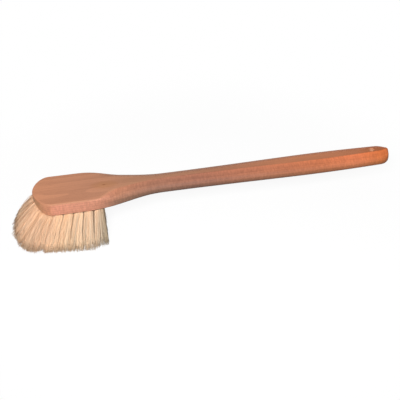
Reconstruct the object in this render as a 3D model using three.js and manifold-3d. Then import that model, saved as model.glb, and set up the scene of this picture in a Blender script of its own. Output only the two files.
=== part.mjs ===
// A long-handled fender brush.
// The block and the handle are one hardwood board, with tufts of cream tampico fibre in blind holes.
// Each tuft is folded over the crown of a wire staple, whose legs are driven in past the hole's end.
// Millimetres: X runs from the head to the handle's end, Y across, Z up, and the fibres point down.
import * as THREE from "three";
import { mergeGeometries, mergeVertices } from "three/addons/utils/BufferGeometryUtils.js";
import Module from "manifold-3d";

const wasm = await Module();
wasm.setup();

// The board. Distances along it are measured from the front of the head.
const BOARD_LENGTH = 508;
const BOARD_THICKNESS = 19;
const HEAD_WIDTH = 66;
const NOSE_LENGTH = 24;
const NOSE_POWER = 1.75;
const TAPER_START = 70;
const TAPER_END = 179;
const HANDLE_STATIONS = [160, 220, 280, 340, 390, 430, 470, 508];
const HANDLE_WIDTHS = [33.6, 33.8, 35.5, 38, 39.5, 38.9, 36.6, 33.6];
const END_LENGTH = 16;
const END_POWER = 2.3;
const END_EDGE_LENGTH = 4;
const END_EDGE_SHARE = 0.6;

// The underside sweeps up under the nose, so that the front holes can slant forwards.
const NOSE_RISE = 11;
const RISE_POWER = 3;

// Its long edges. Those of the head are slightly rounded. On the handle a sloping facet runs from a
// narrow flat top down to a rounded side, and the lower edge is nearly a quarter round.
// Each list holds the head's value and the handle's, which change into each other over a span of X.
const HEAD_ROUND = 2;
const SIDE_ROUNDS = [HEAD_ROUND, 6.8];
const FACET_WIDTHS = [1, 9.6];
const FACET_SLOPES = [0, 24];
const UPPER_SPAN = [72, 122];
const UPPER_SHARE = 0.56;
const UNDER_ROUNDS = [HEAD_ROUND, 8.3];
const UNDER_SPAN = [95, 165];
const UNDER_SHARE = 0.43;
const WIDTH_SHARE = 0.95;

// The hole near the handle's end that the brush hangs by.
const HANG_HOLE_RADIUS = 3.5;
const HANG_HOLE_X = 482.5;

// The tufts stand in columns that bow round the nose, five tufts to a column.
const FIRST_COLUMN_X = 10.5;
const COLUMN_PITCH = 15.1;
const COLUMN_BOW = [8, 6.5, 5, 3, 1, 0];
const COLUMN_SPREAD = [0.88, 1, 1, 1, 1, 0.96];
const ROW_PITCH = 12.5;
const OUTER_ROW = 2 * ROW_PITCH;
const ROW_NUMBERS = [-2, -1, 0, 1, 2];

// How far the fibres lean, in degrees, at these distances from the front: along X, and outwards in Y.
const LEAN_STATIONS = [0, 10, 17, 26, 43, 60, 76, 97];
const LEAN_ALONG = [-41, -37, -26, -16, -10.5, -6.5, -0.5, 3.5];
const LEAN_OUTWARDS = [31, 29, 28.5, 23, 19, 18.5, 18, 14];
const FIBRE_LENGTH = 54;
const TRIM = 50.8;

// Strands: each one stands for a lock of fibres, and spreads over its share of the tuft's tip.
const STRANDS_ALONG = 4;
const STRANDS_ACROSS = 3;
const ROOT_REACH = 3;
const ROOT_HALF = [0.45, 0.45];
const ROOT_SCATTER = 0.12;
const ROOT_SINK = 1.2;
const TIP_HALF = [1.2, 2.2];
const TIP_SCATTER = 0.2;
const SCATTER_SEED = 7;

// Tuft holes, the slice of the block that carries the strands, and the staples.
const HOLE_RADIUS = 4;
const HOLE_DEPTH = 10;
const ROOT_RADIUS = 3.6;
const HOLE_SIDES = 8;
const ROOT_SIDES = 6;
const SLICE_DEPTH = 2.5;
const BED_RIM = 2.5;
const BED_END = 94;
const BED_STEPS = 10;
const GAP = 0.3;
const WIRE_RADIUS = 0.5;
const WIRE_SIDES = 6;
const CROWN_HALF = 2.85;
const CROWN_HEIGHT = 7;
const LEG_TOP = 15.5;
const BEND = 1;

const UNDERSIDE_Z = TRIM;
const MIDDLE_Z = UNDERSIDE_Z + BOARD_THICKNESS / 2;
const TOP_Z = UNDERSIDE_Z + BOARD_THICKNESS;
const ARC_STEPS = 4;
const QUARTER_TURN = Math.PI / 2;

const wood = new THREE.MeshStandardMaterial({ color: 0xc98b6b, roughness: 0.55, metalness: 0 });
const fibre = new THREE.MeshStandardMaterial({ color: 0xe8c39c, roughness: 0.8, metalness: 0 });
const steel = new THREE.MeshStandardMaterial({ color: 0xb9bcbf, roughness: 0.35, metalness: 1 });

const brush = new THREE.Group();
brush.name = "fender_brush";

function tableOf(stations, values) {
  const table = new THREE.LinearInterpolant(stations, values, 1, new Float32Array(1));
  return (x) => table.evaluate(x)[0];
}

function smoothTableOf(stations, values) {
  const table = new THREE.CubicInterpolant(stations, values, 1, new Float32Array(1));
  return (x) => table.evaluate(x)[0];
}

// Joining and cutting
function solidOf(geometry) {
  const bare = geometry.clone();
  bare.deleteAttribute("normal");
  bare.deleteAttribute("uv");
  const merged = mergeVertices(bare, 1e-4);
  return new wasm.Manifold(
    new wasm.Mesh({
      numProp: 3,
      vertProperties: new Float32Array(merged.attributes.position.array),
      triVerts: new Uint32Array(merged.index.array),
    }),
  );
}

function addNode(name, solid, material) {
  const { vertProperties, triVerts } = solid.getMesh();
  const geometry = new THREE.BufferGeometry();
  geometry.setAttribute("position", new THREE.BufferAttribute(vertProperties, 3));
  geometry.setIndex(new THREE.BufferAttribute(triVerts, 1));
  geometry.computeVertexNormals();
  const mesh = new THREE.Mesh(geometry, material);
  mesh.name = name;
  brush.add(mesh);
}

// A closed solid through rings of points. Each ring turns anticlockwise as seen from the next one.
function loft(rings) {
  const count = rings[0].length;
  const lastRing = (rings.length - 1) * count;
  const index = [];
  for (let side = 0; side < count; side++) {
    const next = (side + 1) % count;
    for (let start = 0; start < lastRing; start += count) {
      index.push(start + side, start + next, start + count + next);
      index.push(start + side, start + count + next, start + count + side);
    }
  }
  for (let corner = 1; corner < count - 1; corner++) {
    index.push(0, corner + 1, corner);
    index.push(lastRing, lastRing + corner, lastRing + corner + 1);
  }
  return new THREE.BufferGeometry().setFromPoints(rings.flat()).setIndex(index);
}

// The board's outline and thickness
const handleWidth = smoothTableOf(HANDLE_STATIONS, HANDLE_WIDTHS);

// The quarter of a rounded outline that rises from 0 to 1 as share goes from 0 to 1.
function roundedShare(share, power) {
  const left = 1 - THREE.MathUtils.clamp(share, 0, 1);
  return Math.pow(1 - Math.pow(left, power), 1 / power);
}

function halfWidth(x) {
  const narrowing = THREE.MathUtils.smoothstep(x, TAPER_START, TAPER_END);
  const width = THREE.MathUtils.lerp(HEAD_WIDTH, handleWidth(x), narrowing);
  const nose = roundedShare(x / NOSE_LENGTH, NOSE_POWER);
  const end = roundedShare((BOARD_LENGTH - x) / END_LENGTH, END_POWER);
  return (width / 2) * nose * end;
}

function halfThickness(x) {
  const noseEdge = HEAD_ROUND * (1 - roundedShare(x / HEAD_ROUND, 2));
  const end = roundedShare((BOARD_LENGTH - x) / END_EDGE_LENGTH, 2);
  return (BOARD_THICKNESS / 2 - noseEdge) * THREE.MathUtils.lerp(END_EDGE_SHARE, 1, end);
}

// The level of the underside, without its rounded edges.
function undersideZ(x) {
  const left = 1 - THREE.MathUtils.clamp(x / NOSE_LENGTH, 0, 1);
  return UNDERSIDE_Z + NOSE_RISE * Math.pow(left, RISE_POWER);
}

function grown([head, handle], [start, end], x) {
  return THREE.MathUtils.lerp(head, handle, THREE.MathUtils.smoothstep(x, start, end));
}

// The lower edge of a section, from the underside to the side: [in from the side, up from below].
function lowerEdge(x, half, height) {
  const limit = Math.min(WIDTH_SHARE * half, UNDER_SHARE * height);
  const radius = Math.min(limit, grown(UNDER_ROUNDS, UNDER_SPAN, x));
  return Array.from({ length: ARC_STEPS + 1 }, (_, step) => {
    const angle = (step / ARC_STEPS) * QUARTER_TURN;
    return [radius * (1 - Math.sin(angle)), radius * (1 - Math.cos(angle))];
  });
}

// The upper edge of a section, from the side to the flat top: [in from the side, down from the top].
// It is squeezed where the board is too narrow or too thin for it, at the nose and at the end.
function upperEdge(x, half, height) {
  const slope = THREE.MathUtils.degToRad(grown(FACET_SLOPES, UPPER_SPAN, x));
  const radius = grown(SIDE_ROUNDS, UPPER_SPAN, x);
  const facet = grown(FACET_WIDTHS, UPPER_SPAN, x);
  const turn = QUARTER_TURN - slope;
  const reach = radius * (1 - Math.cos(turn)) + facet;
  const drop = radius * Math.sin(turn) + facet * Math.tan(slope);
  const squeezeIn = Math.min(1, (WIDTH_SHARE * half) / reach);
  const squeezeDown = Math.min(1, (UPPER_SHARE * height) / drop);
  const arc = Array.from({ length: ARC_STEPS + 1 }, (_, step) => {
    const angle = (step / ARC_STEPS) * turn;
    const inwards = radius * (1 - Math.cos(angle));
    return [squeezeIn * inwards, squeezeDown * (drop - radius * Math.sin(angle))];
  });
  return [...arc, [squeezeIn * reach, 0]];
}

// One cross-section of the board: up one side, over the flat top and down the other side.
function boardRing(x) {
  const half = halfWidth(x);
  const high = MIDDLE_Z + halfThickness(x);
  const low = undersideZ(x) + BOARD_THICKNESS / 2 - halfThickness(x);
  const lower = lowerEdge(x, half, high - low).map(([inwards, up]) => [half - inwards, low + up]);
  const upper = upperEdge(x, half, high - low).map(([inwards, down]) => [half - inwards, high - down]);
  const profile = [...lower, ...upper];
  const oneSide = profile.map(([y, z]) => new THREE.Vector3(x, y, z));
  const otherSide = profile.map(([y, z]) => new THREE.Vector3(x, -y, z));
  return [...oneSide, ...otherSide.reverse()];
}

// Distances along the board at which it is cut into sections: close together at both round ends.
function boardStations() {
  const stations = [];
  const noseSteps = 9;
  const endSteps = 8;
  for (let step = 1; step <= noseSteps; step++) {
    stations.push(NOSE_LENGTH * (1 - Math.cos((step / noseSteps) * QUARTER_TURN)));
  }
  const endStart = BOARD_LENGTH - END_LENGTH;
  const spans = [
    [NOSE_LENGTH, TAPER_START, 3],
    [TAPER_START, TAPER_END, 14],
    [TAPER_END, endStart, 15],
  ];
  for (const [start, end, steps] of spans) {
    for (let step = 1; step <= steps; step++) {
      stations.push(THREE.MathUtils.lerp(start, end, step / steps));
    }
  }
  for (let step = 1; step < endSteps; step++) {
    stations.push(endStart + END_LENGTH * Math.sin((step / endSteps) * QUARTER_TURN));
  }
  return stations;
}

// The tufts' places and directions
const leanAlong = tableOf(LEAN_STATIONS, LEAN_ALONG);
const leanOutwards = tableOf(LEAN_STATIONS, LEAN_OUTWARDS);

// The way a fibre goes as it drops by one millimetre.
function fall(x, y) {
  const along = THREE.MathUtils.degToRad(leanAlong(x));
  const outwards = THREE.MathUtils.degToRad((leanOutwards(x) * y) / OUTER_ROW);
  return new THREE.Vector3(Math.tan(along), Math.tan(outwards), -1);
}

// A column before the first or after the last one bows as that one does.
function columnX(column, y) {
  const bow = COLUMN_BOW[THREE.MathUtils.clamp(column, 0, COLUMN_BOW.length - 1)];
  return FIRST_COLUMN_X + column * COLUMN_PITCH + bow * (y / OUTER_ROW) ** 2;
}

function tuftsOf(column) {
  return ROW_NUMBERS.map((row) => {
    const y = row * ROW_PITCH * COLUMN_SPREAD[column];
    return { column, x: columnX(column, y), y };
  });
}

// A frame whose origin is a tuft's place on the underside and whose Z runs up its hole.
function holeFrame({ x, y }) {
  const axis = fall(x, y).negate().normalize();
  const across = new THREE.Vector3(0, 1, 0).cross(axis).normalize();
  const side = axis.clone().cross(across);
  return new THREE.Matrix4().makeBasis(across, side, axis).setPosition(x, y, undersideZ(x));
}

// A round peg along a tuft's hole, from below the underside to the given height.
function peg(tuft, radius, sides, height) {
  const length = height + HOLE_RADIUS;
  const geometry = new THREE.CylinderGeometry(radius, radius, length, sides);
  geometry.rotateX(QUARTER_TURN);
  geometry.translate(0, 0, height - length / 2);
  return geometry.applyMatrix4(holeFrame(tuft));
}

// A bent wire: down one leg, along the crown and up the other leg.
// Each row of its path is a place in the hole's XZ plane and the direction of the wire there.
function staplePath(legTop) {
  const inner = CROWN_HALF - BEND;
  return [
    [-CROWN_HALF, legTop, 0, -1],
    [-CROWN_HALF, CROWN_HEIGHT + BEND, 0, -1],
    [-inner, CROWN_HEIGHT, 1, 0],
    [inner, CROWN_HEIGHT, 1, 0],
    [CROWN_HALF, CROWN_HEIGHT + BEND, 0, 1],
    [CROWN_HALF, legTop, 0, 1],
  ];
}

function wireAlong(path, radius, sides) {
  const across = new THREE.Vector3(0, 1, 0);
  const rings = path.map(([x, z, goesX, goesZ]) => {
    const outwards = across.clone().cross(new THREE.Vector3(goesX, 0, goesZ));
    return Array.from({ length: sides }, (_, side) => {
      const angle = ((side + 0.5) / sides) * 4 * QUARTER_TURN;
      return new THREE.Vector3(x, 0, z)
        .addScaledVector(outwards, radius * Math.cos(angle))
        .addScaledVector(across, radius * Math.sin(angle));
    });
  });
  return loft(rings);
}

function staple(tuft) {
  return wireAlong(staplePath(LEG_TOP), WIRE_RADIUS, WIRE_SIDES).applyMatrix4(holeFrame(tuft));
}

// The room a staple needs: a square channel with mitred corners and a gap all round the wire.
function stapleRoom(tuft) {
  const top = LEG_TOP + GAP;
  const path = [
    [-CROWN_HALF, top, 0, -1],
    [-CROWN_HALF, CROWN_HEIGHT, 1, -1],
    [CROWN_HALF, CROWN_HEIGHT, 1, 1],
    [CROWN_HALF, top, 0, 1],
  ];
  const radius = (WIRE_RADIUS + GAP) * Math.SQRT2;
  return wireAlong(path, radius, 4).applyMatrix4(holeFrame(tuft));
}

// Four corners of an upright rectangle across the board, in the order that suits a loft along X.
function uprightRing(x, half, low, high) {
  return [
    new THREE.Vector3(x, half, low),
    new THREE.Vector3(x, half, high),
    new THREE.Vector3(x, -half, high),
    new THREE.Vector3(x, -half, low),
  ];
}

// Four corners of a level rectangle, in the order that suits a strand going down.
function levelRing(x, y, z, [halfX, halfY]) {
  return [
    new THREE.Vector3(x - halfX, y - halfY, z),
    new THREE.Vector3(x - halfX, y + halfY, z),
    new THREE.Vector3(x + halfX, y + halfY, z),
    new THREE.Vector3(x + halfX, y - halfY, z),
  ];
}

// No two strands of a real tuft stand quite in line.
THREE.MathUtils.seededRandom(SCATTER_SEED);
function scatter(reach) {
  return reach * (2 * THREE.MathUtils.seededRandom() - 1);
}

// The strands of one tuft. Their roots crowd into the hole, and their tips share out the tuft's field.
function strandsOf({ column, x, y }) {
  const strands = [];
  for (let i = 0; i < STRANDS_ALONG; i++) {
    for (let j = 0; j < STRANDS_ACROSS; j++) {
      const shareX = (2 * i - STRANDS_ALONG + 1) / STRANDS_ALONG;
      const shareY = (2 * j - STRANDS_ACROSS + 1) / STRANDS_ACROSS;
      const fieldY = y + (shareY * ROW_PITCH) / 2;
      const neighbour = columnX(column + Math.sign(shareX), fieldY);
      const fieldX = THREE.MathUtils.lerp(columnX(column, fieldY), neighbour, Math.abs(shareX) / 2);
      const way = fall(fieldX, fieldY);
      const drop = Math.min(undersideZ(fieldX), FIBRE_LENGTH / way.length());
      const rootX = x + shareX * ROOT_REACH + scatter(ROOT_SCATTER);
      const rootY = y + shareY * ROOT_REACH + scatter(ROOT_SCATTER);
      const root = levelRing(rootX, rootY, undersideZ(rootX) + ROOT_SINK, ROOT_HALF);
      const tipX = fieldX + way.x * drop + scatter(TIP_SCATTER);
      const tipY = fieldY + way.y * drop + scatter(TIP_SCATTER);
      const tip = levelRing(tipX, tipY, undersideZ(fieldX) - drop, TIP_HALF);
      strands.push(loft([root, tip]));
    }
  }
  return strands;
}

// A flat plate from a list of corners in plan.
function plate(corners, low, high) {
  const shape = new THREE.Shape(corners.map(([x, y]) => new THREE.Vector2(x, y)));
  const geometry = new THREE.ExtrudeGeometry(shape, { depth: high - low, bevelEnabled: false });
  return geometry.translate(0, 0, low);
}

// Distances along the tufted bed at which it is cut into sections, closest together at the nose.
const bedStations = Array.from({ length: BED_STEPS + 1 }, (_, step) => {
  return THREE.MathUtils.lerp(BED_RIM, BED_END, (step / BED_STEPS) ** 2);
});

function bedX(station, gap) {
  return THREE.MathUtils.clamp(station, BED_RIM + gap, BED_END - gap);
}

// The tufted bed with a gap all round it, between two levels that are measured from the underside.
function bed(gap, low, high) {
  const rings = bedStations.map((station) => {
    const x = bedX(station, gap);
    const half = halfWidth(station) - BED_RIM - gap;
    return uprightRing(x, half, undersideZ(x) + low, undersideZ(x) + high);
  });
  return loft(rings);
}

// The air under the head, up to the lower face of the slice.
function airBelow() {
  const sliceX = bedStations.map((station) => bedX(station, GAP));
  const places = [-NOSE_LENGTH, ...sliceX, BOARD_LENGTH];
  return loft(places.map((x) => uprightRing(x, HEAD_WIDTH, -TRIM, undersideZ(x))));
}

// The line between a column of tufts and the next one, at a place across the head.
function seamX(column, y) {
  if (column < 0) {
    return -NOSE_LENGTH;
  }
  if (column === COLUMN_BOW.length - 1) {
    return BOARD_LENGTH;
  }
  return (columnX(column, y) + columnX(column + 1, y)) / 2;
}

// The part of the bed that holds the columns from first to last.
function slice(first, last) {
  const places = [-HEAD_WIDTH, ...ROW_NUMBERS.map((row) => row * ROW_PITCH), HEAD_WIDTH];
  const across = places.map((y) => THREE.MathUtils.clamp(y, -HEAD_WIDTH / 2, HEAD_WIDTH / 2));
  const front = across.map((y) => [seamX(first - 1, y) + GAP / 2, y]);
  const back = across.map((y) => [seamX(last, y) - GAP / 2, y]).reverse();
  const whole = bed(GAP, 0, SLICE_DEPTH - GAP);
  const band = plate([...front, ...back], UNDERSIDE_Z - TRIM, TOP_Z);
  return solidOf(whole).intersect(solidOf(band));
}

// The nodes
const allTufts = COLUMN_BOW.flatMap((_, column) => tuftsOf(column));
const stapleRooms = solidOf(mergeGeometries(allTufts.map(stapleRoom)));

function addBoard() {
  const board = solidOf(loft(boardStations().map(boardRing)));
  const pocket = bed(0, -SLICE_DEPTH, SLICE_DEPTH);
  const holes = allTufts.map((tuft) => peg(tuft, HOLE_RADIUS, HOLE_SIDES, HOLE_DEPTH));
  const hangHole = new THREE.CylinderGeometry(
    HANG_HOLE_RADIUS,
    HANG_HOLE_RADIUS,
    2 * BOARD_THICKNESS,
    16,
  );
  hangHole.rotateX(QUARTER_TURN).translate(HANG_HOLE_X, 0, MIDDLE_Z);
  const drilled = board
    .subtract(solidOf(pocket))
    .subtract(solidOf(mergeGeometries(holes)))
    .subtract(stapleRooms)
    .subtract(solidOf(hangHole));
  addNode("handle_block", drilled, wood);
}

function addTufts(name, first, last) {
  const tufts = allTufts.filter(({ column }) => column >= first && column <= last);
  const roots = tufts.map((tuft) => peg(tuft, ROOT_RADIUS, ROOT_SIDES, HOLE_DEPTH - GAP));
  const strands = tufts.flatMap(strandsOf);
  const made = slice(first, last)
    .add(solidOf(mergeGeometries(roots)))
    .subtract(solidOf(airBelow()))
    .subtract(stapleRooms)
    .add(solidOf(mergeGeometries(strands)));
  addNode(name, made, fibre);
}

addBoard();
addTufts("tufts_front", 0, 0);
addTufts("tufts_fore", 1, 2);
addTufts("tufts_rear", 3, 4);
addTufts("tufts_back", 5, 5);
allTufts.forEach((tuft, i) => {
  const name = "staple_" + String(i + 1).padStart(2, "0");
  addNode(name, solidOf(staple(tuft)), steel);
});

// The origin: midway along the whole brush, on the level that the fibre tips stand on.
const whole = new THREE.Box3().setFromObject(brush);
const middleX = (whole.min.x + whole.max.x) / 2;
brush.children.forEach((node) => node.geometry.translate(-middleX, 0, -whole.min.z));

export default brush;
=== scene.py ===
# %% [markdown]
# # A fender brush on its fixed frame
# The real brush is one beech board, wide at the head and slim at the handle, with thirty tufts of
# cream plant fibre folded into drilled holes and held there by wire staples.
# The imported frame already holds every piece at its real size, in metres, so this lesson only gives
# each piece its fine shape and its finish.
# The frame's outer box is kept from the start, and the dressed brush is measured against it at the
# end.

import math
from collections import namedtuple

import bpy
import numpy as np
from mathutils import Color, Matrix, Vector


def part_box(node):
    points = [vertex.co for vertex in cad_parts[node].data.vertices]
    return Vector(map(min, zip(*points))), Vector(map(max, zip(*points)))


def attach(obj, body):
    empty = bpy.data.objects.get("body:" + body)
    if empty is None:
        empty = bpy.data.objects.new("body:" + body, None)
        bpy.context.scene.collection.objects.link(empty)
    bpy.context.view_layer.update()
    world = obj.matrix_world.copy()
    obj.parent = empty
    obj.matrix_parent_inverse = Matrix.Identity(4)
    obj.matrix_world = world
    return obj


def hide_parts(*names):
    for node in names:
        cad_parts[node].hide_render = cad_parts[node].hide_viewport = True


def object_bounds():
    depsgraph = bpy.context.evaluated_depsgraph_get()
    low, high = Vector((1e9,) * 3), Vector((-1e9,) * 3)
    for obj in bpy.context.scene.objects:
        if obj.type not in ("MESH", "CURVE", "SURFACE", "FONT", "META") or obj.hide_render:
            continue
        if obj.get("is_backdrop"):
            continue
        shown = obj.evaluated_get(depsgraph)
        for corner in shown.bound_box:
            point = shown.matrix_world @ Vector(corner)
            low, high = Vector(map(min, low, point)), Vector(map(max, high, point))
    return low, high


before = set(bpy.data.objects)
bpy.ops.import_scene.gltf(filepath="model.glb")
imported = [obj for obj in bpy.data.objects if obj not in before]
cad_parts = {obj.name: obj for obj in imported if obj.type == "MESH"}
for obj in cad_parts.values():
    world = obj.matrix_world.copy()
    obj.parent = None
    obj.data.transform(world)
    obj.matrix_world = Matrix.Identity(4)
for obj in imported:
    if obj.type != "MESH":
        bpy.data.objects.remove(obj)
cad_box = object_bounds()
MM = 0.001
cad_size = [round(side / MM, 1) for side in cad_box[1] - cad_box[0]]
print("frame:", len(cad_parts), "nodes in a box of", cad_size, "mm")

# %% [markdown]
# ## The camera
# A long lens a good step away keeps the board's edges almost parallel, as in a catalogue picture.
# The camera could be turned by hand until the brush looks right, but two angles, a distance and a
# point to aim at say the same in numbers that can be changed.
# The camera stands a little to the left of the near side and looks down on the flat top.

# %% Make the camera
VIEW_AZIMUTH, VIEW_ELEVATION = -12.27, 37.38
VIEW_DISTANCE = 1.3
VIEW_LENS = 82.44
AIM = Vector((-7.5, 0, 19.9)) * MM


def add_object(name, data):
    made = bpy.data.objects.new(name, data)
    bpy.context.scene.collection.objects.link(made)
    return made


def face_the_brush(thing, azimuth, elevation, distance):
    """Stand a camera or a lamp off from the point to aim at, and turn it to that point."""
    turn, rise = math.radians(azimuth), math.radians(elevation)
    level = math.cos(rise)
    towards = Vector((math.sin(turn) * level, -math.cos(turn) * level, math.sin(rise)))
    thing.location = AIM + distance * towards
    thing.rotation_euler = towards.to_track_quat("Z", "Y").to_euler()


camera = add_object("camera", bpy.data.cameras.new("camera"))
camera.data.lens = VIEW_LENS
face_the_brush(camera, VIEW_AZIMUTH, VIEW_ELEVATION, VIEW_DISTANCE)
bpy.context.scene.camera = camera
bpy.context.scene.view_settings.view_transform = "Standard"
print("camera at", [round(value, 3) for value in camera.location])

# %% [markdown]
# ## Nodes without clutter
# Every finish below is a small node tree. Wiring nodes one line at a time is long to read, so one
# helper makes a node, sets its options and fills its inputs. An input takes either a value or the
# output of another node, and the helper sets or links it as needed.
# Short helpers on top of it do what the finishes ask for most: a sum, a number's place in a span,
# a mix or a tint of colours, and a ramp of colours.
# Colours are written as the familiar 0 to 255 numbers and turned into the linear ones Blender wants.

# %% Node helpers
FULL = 255
WHITE = (1.0, 1.0, 1.0, 1.0)
WHOLE = (0.0, 1.0)


def shade(red, green, blue):
    written = Color((red / FULL, green / FULL, blue / FULL))
    return (*written.from_srgb_to_scene_linear(), 1.0)


def fill(tree, node, inputs):
    for socket, value in inputs.items():
        if isinstance(value, bpy.types.NodeSocket):
            tree.links.new(value, node.inputs[socket])
        else:
            node.inputs[socket].default_value = value


def add_node(tree, kind, inputs=None, **options):
    node = tree.nodes.new("ShaderNode" + kind)
    for option, value in options.items():
        setattr(node, option, value)
    fill(tree, node, inputs or {})
    return node


def maths(tree, operation, first, second, **options):
    return add_node(tree, "Math", {0: first, 1: second}, operation=operation, **options).outputs[0]


def vector_maths(tree, operation, first, second):
    return add_node(tree, "VectorMath", {0: first, 1: second}, operation=operation).outputs[0]


def length_of(tree, vector):
    return add_node(tree, "VectorMath", {0: vector}, operation="LENGTH").outputs["Value"]


def place_in(tree, value, span=WHOLE, result=WHOLE, **options):
    """How far a value is through a span, turned into a number between the two of the result."""
    ends = {"From Min": span[0], "From Max": span[1], "To Min": result[0], "To Max": result[1]}
    return add_node(tree, "MapRange", {"Value": value} | ends, **options).outputs["Result"]


def mixed(tree, share, first, second, blend_type="MIX"):
    colours = {"Fac": share, "Color1": first, "Color2": second}
    return add_node(tree, "MixRGB", colours, blend_type=blend_type).outputs[0]


def tinted(tree, colour, tint, share=1.0):
    return mixed(tree, share, colour, tint, "MULTIPLY")


def brightened(tree, colour, strength):
    inputs = {0: colour, "Scale": strength}
    return add_node(tree, "VectorMath", inputs, operation="SCALE").outputs[0]


def colour_ramp(tree, factor, stops):
    ramp = add_node(tree, "ValToRGB", {"Fac": factor})
    elements = ramp.color_ramp.elements
    while len(elements) < len(stops):
        elements.new(1.0)
    for element, (place, colour) in zip(elements, stops):
        element.position = place
        element.color = colour
    return ramp.outputs["Color"]


print("a mid grey of 128 is", round(shade(128, 128, 128)[0], 3), "in linear light")

# %% [markdown]
# ## Studio light
# One soft lamp stands in front, a little to the left of the camera and slightly higher, so the near
# side is bright and the edges that turn away fall off, as they do in a picture with a single lamp.
# From behind, the brush would then be almost black, so a weak lamp stands low there, and leaves no
# glare on the wood.
# The surroundings look pure white to the camera and in reflections, but light the brush gently:
# the Light Path node tells the two apart.

# %% Surroundings and lamps
SURROUND_LIGHT = 0.14
LAMP_DISTANCE, LAMP_SIZE = 1.5, 0.4
LAMPS = {
    "front_lamp": {"azimuth": -20, "elevation": 42, "power": 27.5, "glare": True},
    "back_lamp": {"azimuth": 160, "elevation": 9, "power": 8.0, "glare": False},
}


def seen_plainly(tree):
    """1 for what the camera sees, also by reflection or through glass, and 0 for other light."""
    rays = add_node(tree, "LightPath").outputs
    by_mirror = maths(tree, "ADD", rays["Is Glossy Ray"], rays["Is Transmission Ray"])
    return maths(tree, "ADD", rays["Is Camera Ray"], by_mirror, use_clamp=True)


def light_the_surroundings():
    world = bpy.data.worlds.new("pale_studio")
    world.use_nodes = True
    tree = world.node_tree
    tree.nodes.clear()
    soft = add_node(tree, "Background", {"Color": WHITE, "Strength": SURROUND_LIGHT}).outputs[0]
    plain = add_node(tree, "Background", {"Color": WHITE, "Strength": 1.0}).outputs[0]
    both = add_node(tree, "MixShader", {0: seen_plainly(tree), 1: soft, 2: plain})
    add_node(tree, "OutputWorld", {"Surface": both.outputs[0]})
    bpy.context.scene.world = world


def hang_lamp(name, azimuth, elevation, power, glare):
    lamp = add_object(name, bpy.data.lights.new(name, "AREA"))
    lamp.data.energy = power
    lamp.data.size = LAMP_SIZE
    lamp.visible_glossy = glare
    lamp.visible_camera = False
    face_the_brush(lamp, azimuth, elevation, LAMP_DISTANCE)
    return lamp


light_the_surroundings()
for name, values in LAMPS.items():
    lamp = hang_lamp(name, **values)
    print(name, "at", [round(value, 2) for value in lamp.location])

# %% [markdown]
# ## The floor
# A pale sheet lies just under the fibre tips. Lit paper never looks quite white in a render, so the
# camera sees it mixed with a plain white glow. Under the brush a share of plain paper is left, which
# takes the brush's soft shadow, and further out the glow grows to full white.
# For all other light the sheet is dull grey paper, so that it throws little light up at the brush.

# %% Lay the floor
FLOOR_REACH = 4.0
FLOOR_GAP = 0.3 * MM
FLOOR_GLOW = 0.9
WHITE_SPAN = (0.2, 0.42)
PAPER = shade(92, 91, 90)


def paper():
    material = bpy.data.materials.new("paper")
    material.use_nodes = True
    tree = material.node_tree
    tree.nodes.clear()
    plainly = seen_plainly(tree)
    sheet = add_node(tree, "BsdfDiffuse", {"Color": mixed(tree, plainly, PAPER, WHITE)}).outputs[0]
    glow = add_node(tree, "Emission", {"Color": WHITE, "Strength": 1.0}).outputs[0]
    away = length_of(tree, add_node(tree, "TexCoord").outputs["Object"])
    share = place_in(tree, away, WHITE_SPAN, (FLOOR_GLOW, 1.0), interpolation_type="SMOOTHSTEP")
    seen = maths(tree, "MULTIPLY", plainly, share)
    both = add_node(tree, "MixShader", {0: seen, 1: sheet, 2: glow})
    add_node(tree, "OutputMaterial", {"Surface": both.outputs[0]})
    return material


def lay_floor():
    low = cad_box[0].z - FLOOR_GAP
    corners = [(-1, -1), (1, -1), (1, 1), (-1, 1)]
    places = [(x * FLOOR_REACH, y * FLOOR_REACH, low) for x, y in corners]
    mesh = bpy.data.meshes.new("floor")
    mesh.from_pydata(places, [], [(0, 1, 2, 3)])
    mesh.materials.append(paper())
    return add_object("floor", mesh)


floor = lay_floor()
floor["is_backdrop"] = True
print("floor at", round(floor.data.vertices[0].co.z / MM, 2), "mm")

# %% [markdown]
# ## Curves for an outline
# A sawn and sanded board has few corners: straight runs ease into curves, and its ends are round.
# Three kinds of curve describe all of it: a slow start and stop between two places, a round end
# whose power says how full the round is, and a smooth line through a few measured widths.
# They could be drawn as Bezier curves, but a plain function can be asked for a width at any place.

# %% Curve helpers
CIRCLE = 2


def ease(x, span):
    share = np.clip((x - span[0]) / (span[1] - span[0]), 0, 1)
    return share * share * (3 - 2 * share)


def rounded_share(share, power):
    left = 1 - np.clip(share, 0, 1)
    return (1 - left**power) ** (1 / power)


def smooth_curve(x, stations, values):
    """A curve through the values, with the slope at each one taken from its two neighbours."""
    inner = (values[2:] - values[:-2]) / (stations[2:] - stations[:-2])
    steps = np.diff(values) / np.diff(stations)
    slopes = np.concatenate([steps[:1], inner, steps[-1:]])
    left = np.clip(np.searchsorted(stations, x) - 1, 0, len(stations) - 2)
    span = stations[left + 1] - stations[left]
    t = np.clip((x - stations[left]) / span, 0, 1)
    rise = values[left] + (values[left + 1] - values[left]) * t * t * (3 - 2 * t)
    turn_in = slopes[left] * span * t * (1 - t) ** 2
    turn_out = slopes[left + 1] * span * t * t * (t - 1)
    return rise + turn_in + turn_out


print("halfway in, a circular end is", round(rounded_share(0.5, CIRCLE), 3), "of its full width")

# %% [markdown]
# ## The board's outline
# The head and the handle are sawn from one board, so one outline in plan describes both: a round
# nose, straight sides, a long taper and a handle that swells towards its end. Seen from the side,
# the underside rises in a short curve at the nose.
# It could be traced point by point, but a few widths and lengths give smoother edges.
# The frame's own board gives the place of all this: its middle, its underside and its thickness.
# From here on lengths are in millimetres, and distances along the board start at the nose.

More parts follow.
